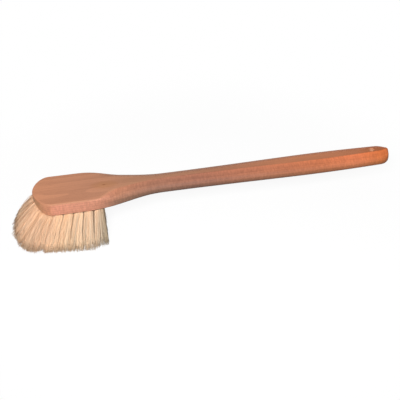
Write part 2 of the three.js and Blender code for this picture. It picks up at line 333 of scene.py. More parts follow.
# %% Outline and thickness
BOARD_LENGTH = 508.0
HEAD_WIDTH = 66.0
NOSE_LENGTH, NOSE_POWER = 24.0, 1.75
NOSE_RISE, RISE_POWER = 11.0, 3.0
TAPER = (70.0, 179.0)
HANDLE_STATIONS = np.array([160.0, 220, 280, 340, 390, 430, 470, 508])
HANDLE_WIDTHS = np.array([33.6, 33.8, 35.5, 38, 39.5, 38.9, 36.6, 33.6])
END_LENGTH, END_POWER = 16.0, 2.3
END_EDGE_LENGTH, END_EDGE_SHARE = 4.0, 0.6
HEAD_ROUND = 2.0

board_low, board_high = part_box("handle_block")
board_front = (board_low.x + board_high.x) / 2 / MM - BOARD_LENGTH / 2
underside = board_low.z / MM
thickness = (board_high.z - board_low.z) / MM


def half_width(x):
    narrowing = ease(x, TAPER)
    handle = smooth_curve(x, HANDLE_STATIONS, HANDLE_WIDTHS)
    width = HEAD_WIDTH + (handle - HEAD_WIDTH) * narrowing
    nose = rounded_share(x / NOSE_LENGTH, NOSE_POWER)
    end = rounded_share((BOARD_LENGTH - x) / END_LENGTH, END_POWER)
    return width / 2 * nose * end


def half_thickness(x):
    nose_edge = HEAD_ROUND * (1 - rounded_share(x / HEAD_ROUND, CIRCLE))
    end = rounded_share((BOARD_LENGTH - x) / END_EDGE_LENGTH, CIRCLE)
    return (thickness / 2 - nose_edge) * (END_EDGE_SHARE + (1 - END_EDGE_SHARE) * end)


def nose_rise(x):
    return NOSE_RISE * (1 - np.clip(x / NOSE_LENGTH, 0, 1)) ** RISE_POWER


waist = 2 * half_width(np.array([TAPER[1]]))[0]
print("board: underside at", round(underside, 1), "mm,", round(thickness, 1), "mm thick")
print("its waist is", round(waist, 1), "mm wide")

# %% [markdown]
# ## Sections of the board
# Cut across, the head is a rectangle with small round corners. Along the neck it grows into the
# section of the handle: a narrow flat top, a sloping facet on each side of it with a slightly eased
# crease, round sides and round lower edges.
# A bevel modifier could round the edges, but by the same width all along. Here each edge is worked
# out for every section, and squeezed where the board is too narrow or too thin for it.

# %% Cross-sections
QUARTER_TURN = math.pi / 2
SIDE_ROUNDS = (HEAD_ROUND, 6.8)
FACET_WIDTHS = (1.0, 9.6)
FACET_SLOPES = (0.0, math.radians(24))
UPPER_SPAN, UPPER_SHARE = (60.0, 122.0), 0.56
UNDER_ROUNDS = (HEAD_ROUND, 8.3)
UNDER_SPAN, UNDER_SHARE = (95.0, 165.0), 0.43
WIDTH_SHARE = 0.95
CREASE_EASE, CREASE_STEPS = 0.12, 4
ARC_STEPS = 12
FLAT_STEPS = 4


def grown(values, span, x):
    """The head's value, changing into the handle's over a span of the board."""
    head, handle = values
    return (head + (handle - head) * ease(x, span))[:, None]


def lower_edge(x, half, height):
    """From the underside to the side: how far in from the side, and how far up from below."""
    limit = np.minimum(WIDTH_SHARE * half, UNDER_SHARE * height)
    radius = np.minimum(grown(UNDER_ROUNDS, UNDER_SPAN, x), limit)
    turn = np.linspace(0, QUARTER_TURN, ARC_STEPS + 1)
    return radius * (1 - np.sin(turn)), radius * (1 - np.cos(turn))


def upper_edge(x, half, height):
    """From the side to the flat top: how far in from the side, and how far down from the top."""
    slope, radius = grown(FACET_SLOPES, UPPER_SPAN, x), grown(SIDE_ROUNDS, UPPER_SPAN, x)
    facet = grown(FACET_WIDTHS, UPPER_SPAN, x)
    turn = (QUARTER_TURN - slope) * np.linspace(0, 1, ARC_STEPS + 1)
    arc_in, arc_up = radius * (1 - np.cos(turn)), radius * np.sin(turn)
    along = np.linspace(0, 1, CREASE_STEPS + 1)
    eased = facet * CREASE_EASE
    crease_in = arc_in[:, -1:] + facet + eased * (2 * along - 1)
    crease_up = arc_up[:, -1:] + np.tan(slope) * (facet - eased * (1 - along) ** 2)
    inwards = np.concatenate([arc_in, crease_in], axis=1)
    up = np.concatenate([arc_up, crease_up], axis=1)
    squeeze_in = np.minimum(1, WIDTH_SHARE * half / inwards[:, -1:])
    squeeze_down = np.minimum(1, UPPER_SHARE * height / up[:, -1:])
    return squeeze_in * inwards, squeeze_down * (up[:, -1:] - up)


def section_rings(x):
    """Round each section: up one side, over the flat top, down the other side and back below."""
    half, high = half_width(x)[:, None], (thickness / 2 + half_thickness(x))[:, None]
    low = thickness - high + nose_rise(x)[:, None]
    low_in, low_up = lower_edge(x, half, high - low)
    high_in, high_down = upper_edge(x, half, high - low)
    out = half - np.concatenate([low_in, high_in], axis=1)
    up = np.concatenate([low + low_up, high - high_down], axis=1)
    share = np.linspace(1, -1, FLAT_STEPS + 1)[1:-1]
    over, under = out[:, -1:] * share, -out[:, :1] * share
    across = np.concatenate([out, over, -out[:, ::-1], under], axis=1)
    flat_top, flat_low = np.broadcast_to(high, over.shape), np.broadcast_to(low, under.shape)
    level = np.concatenate([up, flat_top, up[:, ::-1], flat_low], axis=1)
    return np.stack([across, level], axis=-1)


print("a section has", section_rings(HANDLE_STATIONS[:1]).shape[1], "points")

# %% [markdown]
# ## The board as a loft
# A loft is a row of cross-sections joined by quads. The board could also be a cube under a
# subdivision modifier, but the loft follows the measured outline exactly and keeps the long quads
# running with the grain. Sections crowd together where the nose and the end turn.

# %% Build the blank
NOSE_SECTIONS, END_SECTIONS = 40, 26
SECTION_PITCH = 3.0


def sections_along():
    turn = np.linspace(0, QUARTER_TURN, NOSE_SECTIONS + 1)[1:]
    nose = NOSE_LENGTH * (1 - np.cos(turn))
    end_start = BOARD_LENGTH - END_LENGTH
    count = int((end_start - NOSE_LENGTH) / SECTION_PITCH)
    middle = np.linspace(NOSE_LENGTH, end_start, count + 1)[1:]
    turn = np.linspace(0, QUARTER_TURN, END_SECTIONS + 1)[1:-1]
    end = end_start + END_LENGTH * np.sin(turn)
    return np.concatenate([nose, middle, end])


def loft_faces(rings, count):
    """Quads between rings of count points each, and a cap on the first and the last ring."""
    side = np.arange(count)
    beside = (side + 1) % count
    faces = []
    for ring in range(rings - 1):
        here, there = ring * count, (ring + 1) * count
        faces += np.stack([here + side, here + beside, there + beside, there + side], 1).tolist()
    last = (rings - 1) * count
    return faces + [list(range(count))[::-1], list(range(last, last + count))]


def mesh_piece(name, points, faces):
    moved = np.asarray(points) + (board_front, 0, underside)
    mesh = bpy.data.meshes.new(name)
    mesh.from_pydata((moved * MM).tolist(), [], faces)
    mesh.validate()
    return add_object(name, mesh)


def build_blank():
    x = sections_along()
    rings = section_rings(x)
    along = np.broadcast_to(x[:, None, None], (*rings.shape[:2], 1))
    points = np.concatenate([along, rings], axis=2)
    return mesh_piece("beech_board", points.reshape(-1, 3), loft_faces(len(x), rings.shape[1]))


board = build_blank()
print("blank:", len(board.data.polygons), "faces")

# %% [markdown]
# ## Where the tufts stand
# Six columns of five tufts fill the head. The columns bow round the nose, and each hole is drilled
# at a slant, so that the fibres flare forwards at the nose, outwards at the sides and a little
# backwards at the rear.
# Thirty places could be typed in one by one, but pitches, bows and slants say the same and keep the
# rows even. The slant is a short table that is read between its lines, and a fibre's fall is how far
# it moves along and across while it drops by one millimetre.

# %% Tuft places and slants
FIRST_COLUMN_X, COLUMN_PITCH = 10.5, 15.1
COLUMN_BOW = [8.0, 6.5, 5, 3, 1, 0]
COLUMN_SPREAD = [0.88, 1, 1, 1, 1, 0.96]
ROW_PITCH = 12.5
ROWS = (-2, -1, 0, 1, 2)
OUTER_ROW = ROWS[-1] * ROW_PITCH
LEAN_STATIONS = [0.0, 10, 17, 26, 43, 60, 76, 97]
LEAN_ALONG = [-41.0, -37, -26, -16, -10.5, -6.5, -0.5, 3.5]
LEAN_OUTWARDS = [31.0, 29, 28.5, 23, 19, 18.5, 18, 14]

Tuft = namedtuple("Tuft", ["column", "row", "x", "y"])


def fall(x, y):
    along = np.radians(np.interp(x, LEAN_STATIONS, LEAN_ALONG))
    outwards = np.radians(np.interp(x, LEAN_STATIONS, LEAN_OUTWARDS) * y / OUTER_ROW)
    return np.stack([np.tan(along), np.tan(outwards), -np.ones_like(along)], axis=-1)


def column_x(column, y):
    bow = np.take(COLUMN_BOW, column, mode="clip")
    return FIRST_COLUMN_X + column * COLUMN_PITCH + bow * (y / OUTER_ROW) ** 2


def unit(vectors):
    return vectors / np.linalg.norm(vectors, axis=-1, keepdims=True)


def hole_axes(tuft):
    """Two directions across a tuft's hole, and the one up along it."""
    axis = -unit(fall(tuft.x, tuft.y))
    across = unit(np.cross((0.0, 1.0, 0.0), axis))
    return across, np.cross(axis, across), axis


def mouth_of(tuft):
    return np.array((tuft.x, tuft.y, nose_rise(tuft.x)))


tuft_places = []
for column in range(len(COLUMN_BOW)):
    for row in ROWS:
        row_y = row * ROW_PITCH * COLUMN_SPREAD[column]
        tuft_places.append(Tuft(column, row, column_x(column, row_y), row_y))
first_x, last_x = tuft_places[0].x, tuft_places[-1].x
print("tufts:", len(tuft_places), "from", round(first_x, 1), "to", round(last_x, 1), "mm")

# %% [markdown]
# ## Drilling
# The maker drills a blind hole for each tuft and one right through the handle to hang the brush by.
# A drilled hole is what a boolean is for: each drill is a turned solid that is taken away from the
# blank. All the drills go into one cutter, so that the board is cut once.
# The hang hole's drill is wider at both faces, which leaves the small eased rim of a sanded hole.

# %% Drill the board
TUFT_HOLE_RADIUS, TUFT_HOLE_DEPTH = 4.0, 10.0
HANG_HOLE_X, HANG_HOLE_RADIUS, HANG_HOLE_EASE = 482.5, 3.5, 0.7
DRILL_SIDES = 32
SMOOTH_BELOW = math.radians(9)


def turned(profile, origin, axes):
    """A solid turned about the last axis, from a list of radius and height."""
    turn = np.linspace(0, 2 * math.pi, DRILL_SIDES, endpoint=False)[:, None]
    round_about = np.cos(turn) * axes[0] + np.sin(turn) * axes[1]
    rings = [origin + radius * round_about + height * axes[2] for radius, height in profile]
    return np.concatenate(rings), loft_faces(len(profile), DRILL_SIDES)


def hang_hole_profile():
    wide = HANG_HOLE_RADIUS + 2 * HANG_HOLE_EASE
    return [
        (wide, -HANG_HOLE_EASE),
        (HANG_HOLE_RADIUS, HANG_HOLE_EASE),
        (HANG_HOLE_RADIUS, thickness - HANG_HOLE_EASE),
        (wide, thickness + HANG_HOLE_EASE),
    ]


def drills():
    tuft_drill = [(TUFT_HOLE_RADIUS, -TUFT_HOLE_RADIUS), (TUFT_HOLE_RADIUS, TUFT_HOLE_DEPTH)]
    for tuft in tuft_places:
        yield turned(tuft_drill, mouth_of(tuft), hole_axes(tuft))
    yield turned(hang_hole_profile(), np.array((HANG_HOLE_X, 0.0, 0.0)), np.eye(3))


def make_cutter():
    points, faces, count = [], [], 0
    for drill_points, drill_faces in drills():
        points.append(drill_points)
        faces += [[corner + count for corner in face] for face in drill_faces]
        count += len(drill_points)
    return mesh_piece("drills", np.concatenate(points), faces)


def drill_board():
    cutter = make_cutter()
    cut = board.modifiers.new("drilled", "BOOLEAN")
    cut.operation = "DIFFERENCE"
    cut.solver = "EXACT"
    cut.object = cutter
    bpy.context.view_layer.objects.active = board
    bpy.ops.object.modifier_apply(modifier=cut.name)
    bpy.data.objects.remove(cutter)
    board.data.polygons.foreach_set("use_smooth", [True] * len(board.data.polygons))
    board.data.set_sharp_from_angle(angle=SMOOTH_BELOW)


drill_board()
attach(board, "root")
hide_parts("handle_block")
print("drilled board:", len(board.data.polygons), "faces")

# %% [markdown]
# ## Beech, sealed
# Wood is solid, so its pattern is made in three dimensions: the same grain runs through the top, the
# sides and the end, and the pores show as dots where the nose cuts across them.
# A photograph wrapped round the board would smear at the nose, so the pattern comes from noise that
# is stretched along the board, faint growth rings round a heart below it, and short dark flecks,
# which are what tells beech from other woods.
# Blender's wave texture turns through 20 radians in one unit, which gives its scale for a ring pitch.

# %% Grain patterns
HEART = (0.0, -14.0, -46.0)
RING_PITCH = 3.4
RING_WANDER = {"Distortion": 1.2, "Detail": 2.0, "Detail Scale": 0.1}
WAVE_RATE = 20.0
FLECK_STRETCH, FLECK_EDGE = (0.3, 1.5, 1.5), (0.1, 0.24)
WAVER_STRETCH, WAVER = (0.007, 0.03, 0.03), (0.0, 3.0, 3.0)
SOFT_DETAIL, EVEN_ROUGHNESS = 2.0, 0.5
MIDDLE_GREY = (0.5, 0.5, 0.5)


def stretched(tree, place, scale):
    return add_node(tree, "Mapping", {"Vector": place, "Scale": scale}).outputs[0]


def noise(tree, place, stretch, detail=SOFT_DETAIL, roughness=EVEN_ROUGHNESS, output="Fac"):
    inputs = {"Vector": stretched(tree, place, stretch), "Scale": 1.0}
    inputs |= {"Detail": detail, "Roughness": roughness}
    return add_node(tree, "TexNoise", inputs).outputs[output]


def board_place(tree):
    """A point's place in millimetres, and the same moved aside so that no grain line is straight."""
    place = add_node(tree, "TexCoord").outputs["Object"]
    place = stretched(tree, place, (1 / MM, 1 / MM, 1 / MM))
    drift = noise(tree, place, WAVER_STRETCH, output="Color")
    drift = vector_maths(tree, "SUBTRACT", drift, MIDDLE_GREY)
    drift = vector_maths(tree, "MULTIPLY", drift, WAVER)
    return place, vector_maths(tree, "ADD", place, drift)


def growth_rings(tree, place):
    about_heart = vector_maths(tree, "SUBTRACT", place, HEART)
    inputs = {"Vector": about_heart, "Scale": 2 * math.pi / (WAVE_RATE * RING_PITCH)} | RING_WANDER
    kind = {"wave_type": "RINGS", "rings_direction": "X", "wave_profile": "SAW"}
    return add_node(tree, "TexWave", inputs, **kind).outputs["Fac"]


def flecks(tree, place):
    cells = {"Vector": stretched(tree, place, FLECK_STRETCH), "Scale": 1.0}
    away = add_node(tree, "TexVoronoi", cells).outputs["Distance"]
    return place_in(tree, away, FLECK_EDGE)


print("rings every", RING_PITCH, "mm, flecks about", round(1 / FLECK_STRETCH[0], 1), "mm long")

# %% [markdown]
# ## Tones along the board
# One board is rarely one colour: here the head is a calm pinkish brown and the handle's end a warmer
# orange. Two ramps hold the tones, one for the sides and one for the flat top. The one front lamp
# would light the top and the near side about alike, so the sides' ramp is brighter as painted light
# and the top's ramp darker as painted shade; at the nose the sides' ramp dips, as painted shade where
# the nose turns away. The far side takes most of the top's tone, as painted shade.
# Faint cutter marks cross the sides, and the lower part of the handle is painted darker and cooler,
# as painted shade where its round lower edge turns away from the lamp.
# These could be painted on an unwrapped board, but tones that are read from a point's place need no
# unwrapping and fit the drilled walls as well.

# %% Plain tones
# Painted light: the sides are brighter than the top, and darker at the nose as painted shade.
LIT_SIDE_TONES = [
    (0, shade(184, 134, 95)),
    (6, shade(189, 136, 98)),
    (14, shade(200, 138, 105)),
    (20, shade(198, 134, 103)),
    (25, shade(218, 147, 119)),
    (30, shade(218, 147, 120)),
    (45, shade(210, 143, 117)),
    (80, shade(201, 138, 112)),
    (112, shade(175, 116, 88)),
    (165, shade(155, 103, 80)),
    (225, shade(154, 98, 76)),
    (315, shade(176, 107, 77)),
    (405, shade(194, 111, 72)),
    (455, shade(223, 124, 80)),
    (493, shade(212, 113, 61)),
]
# Painted shade: the top is darker than the sides.
SHADED_TOP_TONES = [
    (0, shade(190, 130, 97)),
    (80, shade(180, 125, 96)),
    (135, shade(172, 122, 93)),
    (200, shade(170, 119, 91)),
    (275, shade(166, 111, 82)),
    (365, shade(187, 120, 84)),
    (455, shade(177, 112, 77)),
    (493, shade(167, 96, 57)),
]
# On the head the top's painted shade reaches down over the edge; the far side takes most of it.
TOP_LAYER, HEAD_EDGE_SHADE = (18.7, 18.97), 1.5
FAR_SIDE, FAR_SHADE_SHARE = (0.0, 6.0), 0.85
# Painted shade: the handle's lower part turns darker and cooler from the neck on.
HANDLE_START, LOWER_SHADE_LAYER, LOWER_SHADE_TONE = (84, 112), (18.0, 7.0), (0.62, 0.8, 0.92, 1.0)
MARK_STRETCH, MARK_SHADES = (0.42, 0.16, 0.16), (0.87, 1.13)
NOISE_SPAN = (0.3, 0.7)


def along_board(*places):
    return [board_front + x for x in places]


def above_underside(*heights):
    return [underside + z for z in heights]


def tones_along(tree, share, tones):
    return colour_ramp(tree, share, [(x / BOARD_LENGTH, tone) for x, tone in tones])


def marked_sides(tree, place, share):
    marks = place_in(tree, noise(tree, place, MARK_STRETCH), NOISE_SPAN, MARK_SHADES)
    return brightened(tree, tones_along(tree, share, LIT_SIDE_TONES), marks)


def top_shade_share(tree, at, on_handle):
    """A point's share of the top's painted shade; on the head it reaches down over the edge."""
    height = maths(tree, "ADD", at["Z"], place_in(tree, on_handle, WHOLE, (HEAD_EDGE_SHADE, 0.0)))
    layer = above_underside(*TOP_LAYER)
    on_top = place_in(tree, height, layer, interpolation_type="SMOOTHSTEP")
    # The far side takes most of the top's painted shade.
    far_shade = place_in(tree, at["Y"], FAR_SIDE, (0.0, FAR_SHADE_SHARE))
    return maths(tree, "MAXIMUM", on_top, far_shade)


def board_tone(tree, place):
    at = add_node(tree, "SeparateXYZ", {0: place}).outputs
    share = place_in(tree, at["X"], along_board(0, BOARD_LENGTH))
    on_handle = place_in(tree, at["X"], along_board(*HANDLE_START))
    side, top = marked_sides(tree, place, share), tones_along(tree, share, SHADED_TOP_TONES)
    # The sides' painted light mixed with the top's painted shade.
    without_lower_shade = mixed(tree, top_shade_share(tree, at, on_handle), side, top)
    # Painted shade along the handle's lower part.
    lower_shade = place_in(tree, at["Z"], above_underside(*LOWER_SHADE_LAYER), (0.0, on_handle))
    return tinted(tree, without_lower_shade, LOWER_SHADE_TONE, lower_shade)


print("tones:", len(LIT_SIDE_TONES), "along the sides,", len(SHADED_TOP_TONES), "along the top")

# %% [markdown]
# ## A pin knot and a raw hole
# A small knot sits in the top in front of the neck, with a yellower eye of wood round it, and the
# wall of the hang hole shows raw wood. Both are round marks about an upright line, so both start from
# the distance to that line. Squeezing that distance draws the knot out along the grain.
# A ring of faces with its own material would do for the hole, but would end in a hard edge.

# %% Knot and hole
KNOT_PLACE, KNOT_SQUEEZE, KNOT_REACH = (97.0, -2.4), 0.45, 10.0
KNOT_TONES = [
    (0.04, shade(200, 180, 160)),
    (0.14, shade(249, 246, 226)),
    (0.7, shade(251, 248, 238)),
    (1.0, WHITE),
]
RAW_WOOD = shade(205, 150, 115)


def away_from(tree, place, x, y, scale):
    beside = vector_maths(tree, "SUBTRACT", place, (board_front + x, y, 0))
    return length_of(tree, vector_maths(tree, "MULTIPLY", beside, scale))


def with_knot(tree, place, tone):
    drawn_out = (KNOT_SQUEEZE / KNOT_REACH, 1 / KNOT_REACH, 0)
    away = away_from(tree, place, *KNOT_PLACE, drawn_out)
    return tinted(tree, tone, colour_ramp(tree, away, KNOT_TONES))


def with_raw_hole(tree, place, tone):
    away = away_from(tree, place, HANG_HOLE_X, 0, (1, 1, 0))
    inside = place_in(tree, away, (HANG_HOLE_RADIUS + HANG_HOLE_EASE, HANG_HOLE_RADIUS))
    return mixed(tree, inside, tone, RAW_WOOD)


print("knot at", KNOT_PLACE[0], "mm, hang hole at", HANG_HOLE_X, "mm from the nose")

# %% [markdown]
# ## The board's finish
# Rings, pores, streaks and mottle are added into one grain value, which makes the plain tones
# lighter or darker, and the flecks go over them.
# A thick varnish would be a clear coat on top. This coat is thin and has sunk into the wood, so there
# is no layer of its own here: the wood is satin, and a little glossier on the hard grain than on the
# open pores.

# %% Beech material
PORES = {"stretch": (0.035, 2.6, 2.6), "detail": 5.0, "roughness": 0.6}
STREAKS = {"stretch": (0.008, 0.28, 0.28), "detail": 4.0, "roughness": 0.6}
MOTTLE_STRETCH = (0.012, 0.035, 0.035)
RING_WEIGHT, PORE_WEIGHT, STREAK_WEIGHT, MOTTLE_WEIGHT = 0.14, 0.4, 0.28, 0.18
GRAIN_SHADES = (0.76, 1.22)
FLECK_TONES = [(0.0, shade(206, 198, 194)), (1.0, WHITE)]
WOOD_ROUGHNESS, WOOD_SPECULAR = (0.72, 0.56), 0.35
PORE_BUMP, PORE_DEPTH = 0.35, 0.05 * MM


def weighted(tree, terms):
    total = None
    for value, weight in terms:
        part = maths(tree, "MULTIPLY", value, weight)
        total = part if total is None else maths(tree, "ADD", total, part)
    return total


def new_finish(name):
    material = bpy.data.materials.new(name)
    material.use_nodes = True
    return material, material.node_tree, material.node_tree.nodes["Principled BSDF"]


def beech():
    material, tree, wood = new_finish("sealed_beech")
    true_place, place = board_place(tree)
    pores = noise(tree, place, **PORES)
    terms = [
        (growth_rings(tree, place), RING_WEIGHT),
        (pores, PORE_WEIGHT),
        (noise(tree, place, **STREAKS), STREAK_WEIGHT),
        (noise(tree, place, MOTTLE_STRETCH), MOTTLE_WEIGHT),
    ]
    grain = place_in(tree, weighted(tree, terms), NOISE_SPAN, GRAIN_SHADES)
    tone = with_knot(tree, true_place, board_tone(tree, true_place))
    tone = brightened(tree, with_raw_hole(tree, true_place, tone), grain)
    tone = tinted(tree, tone, colour_ramp(tree, flecks(tree, place), FLECK_TONES))
    bump = {"Height": pores, "Strength": PORE_BUMP, "Distance": PORE_DEPTH}
    finish = {"Base Color": tone, "Normal": add_node(tree, "Bump", bump).outputs[0]}
    finish |= {"Roughness": place_in(tree, pores, WHOLE, WOOD_ROUGHNESS)}
    fill(tree, wood, finish | {"Specular IOR Level": WOOD_SPECULAR})
    return material


board.data.materials.append(beech())
print("beech has", len(board.data.materials[0].node_tree.nodes), "nodes")

# %% [markdown]
# ## Folded fibres
# A real tuft is a bundle of fibres folded double over a staple's crown: each one is a hairpin whose
# two ends leave the hole together. Blender's hair system could comb them, but its strands would stop
# at the wood and would not leave the program as a mesh, so each hairpin is a thin swept tube here.
# The fibres crowd in the round hole, and their ends share out the tuft's field on the ground. A
# fibre's share is its place in both, from -1 to 1 along and across. On the ground the shares are
# drawn together in small locks.

# %% Shares and locks
HAIRPINS = (18, 12)
ROOT_RADIUS = 3.5
LOCKS = (4, 3)
LOCK_PULL, LOCK_WANDER, FIBRE_WANDER = 0.1, 0.06, 0.07
SHARE_REACH = 1.08


def share_cells(rng):
    """One random place in each cell of a grid, along from -1 to 1 and across from 0 to 1."""
    along, across = np.meshgrid(np.arange(HAIRPINS[0]), np.arange(HAIRPINS[1]), indexing="ij")
    along = (along.ravel() + rng.random(along.size)) / HAIRPINS[0] * 2 - 1
    across = (across.ravel() + rng.random(across.size)) / HAIRPINS[1]
    return np.stack([along, across], axis=1)


def in_hole(shares):
    """The square of shares bent into the hole's circle."""
    along, across = shares[:, 0], shares[:, 1]
    bent = [along * np.sqrt(1 - across**2 / 2), across * np.sqrt(1 - along**2 / 2)]
    return ROOT_RADIUS * np.stack(bent, axis=1)


def gathered(shares, rng):
    """Each fibre's share of the ground, drawn towards the middle of the lock that it belongs to."""
    locks = np.array(LOCKS)
    cell = np.clip(((shares + 1) / 2 * locks).astype(int), 0, locks - 1)
    wander = rng.normal(0, LOCK_WANDER, (*LOCKS, 2))
    middle = (2 * cell + 1) / locks - 1 + wander[cell[:, 0], cell[:, 1]]
    loose = shares + rng.normal(0, FIBRE_WANDER, shares.shape)
    return (loose + (middle - loose) * LOCK_PULL) * SHARE_REACH


print("each tuft has", math.prod(HAIRPINS), "hairpins in", math.prod(LOCKS), "locks")

# %% [markdown]
# ## Out of the hole
# The fibres leave the hole along its slant and spread soon after. Those of the outer tufts hold
# together for longer than the inner ones, which leaves the narrow gaps that show at the sides, and
# the near half of the front column does the same.
# A table of bends combs the fibres aside, as use does. The tufts on the ground are trimmed level,
# and the front ones, which never reach the ground, end in low domes.
# A hair simulation could give the same sweep, but a path made of a slant, a spread, an arch and a
# small wave is the same on every run, and each part of it can be set alone.

# %% Paths outside the wood
FIBRE_LENGTH = 54.0
OUTSIDE_STEPS = np.array([0, 0.05, 0.11, 0.2, 0.35, 0.55, 0.78, 1.0])
SPREAD_POWER = 20.0
OUTER_SHOULDER, INNER_SHOULDER = 0.42, 0.8
COMB_STATIONS = [0.0, 10, 26, 43, 60, 76, 84, 92]
COMB_ALONG = [-11.0, -11, -12.5, -10, -7, -5, -4.5, -2]
COMB_ACROSS = [6.0, 6, 4.5, 1.5, 0, -4, -1, 1.5]
COMB_LEVEL, FAR_LEVEL, FAR_EDGE_LEVEL = 0.1, 0.65, 2.0
TRIM_UNEVEN = 1.0
TIP_LENGTHS = (-1.2, 1.0)
DOME_SPAN, DOME_RISE, DOME_DEPTH = (12.0, 30.0), 3.4, 4.0
LIFT, DROOP = 3.5, 3.0
WAVE_HEIGHT, WAVE_TURNS = 0.5, (0.6, 1.7)


def field_of(tuft, shares):
    """Each fibre's own place below the head, halfway to the next tufts at a share of 1."""
    y = tuft.y + shares[:, 1] * ROW_PITCH / 2
    middle = column_x(tuft.column, y)
    beside = column_x(tuft.column + np.sign(shares[:, 0]).astype(int), y)
    return middle + (beside - middle) * np.abs(shares[:, 0]) / 2, y


def combed(x, y):
    """How far a fibre is bent aside, along and across, while it drops by one millimetre."""
    near_side = COMB_LEVEL - (1 - COMB_LEVEL) * y / OUTER_ROW
    far_side = FAR_LEVEL + (FAR_EDGE_LEVEL - FAR_LEVEL) * np.maximum(y, 0) / OUTER_ROW
    along = np.tan(np.radians(np.interp(x, COMB_STATIONS, COMB_ALONG))) * near_side
    across = np.tan(np.radians(np.interp(x, COMB_STATIONS, COMB_ACROSS))) * far_side
    return np.stack([along, across, np.zeros_like(along)], axis=-1)


def drops_of(tuft, shares, level, way, rng):
    """How far each fibre drops: to the ground, or until its length is used up."""
    dome = (1 - ease(tuft.x, DOME_SPAN)) * (DOME_RISE - DOME_DEPTH * (shares**2).sum(axis=1))
    reach = FIBRE_LENGTH + rng.uniform(*TIP_LENGTHS, len(shares)) + dome
    ground = underside + level - TRIM_UNEVEN * rng.uniform(0, 1, len(shares)) ** 2
    return np.minimum(ground, reach / np.linalg.norm(way, axis=1))


def spread_along(tuft, step):
    """From 0 at the hole to 1 at the tip: how far a fibre has gone over to its own place."""
    holds_together = abs(tuft.row) == ROWS[-1] or (tuft.column == 0 and tuft.row <= 0)
    shoulder = OUTER_SHOULDER if holds_together else INNER_SHOULDER
    return shoulder * (1 - (1 - step) ** SPREAD_POWER) + (1 - shoulder) * step**2


def arch(way, tip_level):
    """A slanted fibre lifts halfway and droops at its tip, but not into the ground."""
    flare = np.linalg.norm(way[:, :2], axis=1)[:, None]
    room = np.maximum(tip_level + underside, 0)
    lift = LIFT * flare * np.sin(math.pi * OUTSIDE_STEPS)
    return lift - np.minimum(DROOP * flare, room) * OUTSIDE_STEPS**2


def waves(count, step, rng):
    """Small sideways waves that grow from nothing at the hole."""
    shape = (count, 1, 2)
    turns = rng.uniform(*WAVE_TURNS, shape)
    start = rng.uniform(0, 2 * math.pi, shape)
    height = WAVE_HEIGHT * rng.normal(0, 1, shape)
    return height * step * (np.sin(2 * math.pi * turns * step + start) - np.sin(start))


def outside_path(tuft, shares, roots, rng):
    x, y = field_of(tuft, gathered(shares, rng))
    way, bent, level = fall(x, y), combed(x, y), nose_rise(x)
    drop = drops_of(tuft, shares, level, way + bent, rng)[:, None, None]
    tip = np.stack([x, y, level], axis=1)[:, None] + way[:, None] * drop
    step = OUTSIDE_STEPS[:, None]
    straight = roots[:, None] + fall(tuft.x, tuft.y) * drop * step
    path = straight + (tip - straight[:, -1:]) * spread_along(tuft, step)
    path += bent[:, None] * drop * step
    path[..., 2] += arch(way, tip[..., 2])
    path[..., :2] += waves(len(shares), step, rng)
    return path


front_tuft = tuft_places[ROWS.index(0)]
forwards = -fall(front_tuft.x, front_tuft.y)[0]
print("the middle front tuft goes", round(forwards, 2), "mm forwards for each mm down")

# %% [markdown]
# ## The fold
# Inside the hole the two legs of a hairpin run straight up to the staple and turn over its crown.
# Nobody sees this, so the fibres could start at the wood, but with the fold each fibre is one closed
# tube from tip to tip, and a cut through the head would show how the brush is held together.

# %% Whole hairpins
CROWN_HEIGHT = 7.0
FOLD_START, FOLD_RISE, FOLD_SHARE = 4.5, 0.8, 0.5
FOLD_STEPS = 5


def fold_of(tuft, near):
    across, side, axis = hole_axes(tuft)
    turn = np.linspace(0, math.pi, FOLD_STEPS)
    sideways = near[:, 1:] * np.cos(turn)
    peak = CROWN_HEIGHT + FOLD_RISE + FOLD_SHARE * near[:, 1:]
    up = FOLD_START + (peak - FOLD_START) * np.sin(turn)
    middle = mouth_of(tuft) + near[:, :1, None] * across
    return middle + sideways[..., None] * side + up[..., None] * axis


def hairpin_paths(tuft, rng):
    across, side, _ = hole_axes(tuft)
    shares = share_cells(rng)
    near = in_hole(shares)
    legs = []
    for sign in (1, -1):
        roots = mouth_of(tuft) + near[:, :1] * across + sign * near[:, 1:] * side
        legs.append(outside_path(tuft, shares * (1, sign), roots, rng))
    return np.concatenate([legs[0][:, ::-1], fold_of(tuft, near), legs[1]], axis=1)


first_paths = hairpin_paths(tuft_places[0], np.random.default_rng(0))
print("the first tuft has", len(first_paths), "hairpins of", first_paths.shape[1], "points")

# %% [markdown]
# ## From paths to tubes
# Each path becomes a thin tube of four sides, a little thicker at its ends than at the fold.
# A curve with a bevel would make the same tube, but can't keep the numbers that the finish needs on
# its points. As a table of points, a whole tuft is swept in one step.

# %% Sweep the fibres
FIBRE_SIDES = 4
ROOT_THICK, TIP_THICK = 0.22, 0.24
THICK_RANGE = (0.8, 1.2)
SEED = 20


def from_fold(rings):
    """0 at the fold of a hairpin and 1 at both of its ends."""
    return np.abs(np.linspace(-1, 1, rings))


def sweep(paths, across, rng):
    forward = unit(np.gradient(paths, axis=1))
    first = unit(across - (forward @ across)[..., None] * forward)
    second = np.cross(forward, first)
    size = rng.uniform(*THICK_RANGE, (len(paths), 1))
    radius = (ROOT_THICK + (TIP_THICK - ROOT_THICK) * from_fold(paths.shape[1])) * size
    turn = (np.arange(FIBRE_SIDES) + 0.5) * 2 * math.pi / FIBRE_SIDES
    ring = np.cos(turn)[:, None] * first[:, :, None] + np.sin(turn)[:, None] * second[:, :, None]
    return paths[:, :, None] + radius[..., None, None] * ring


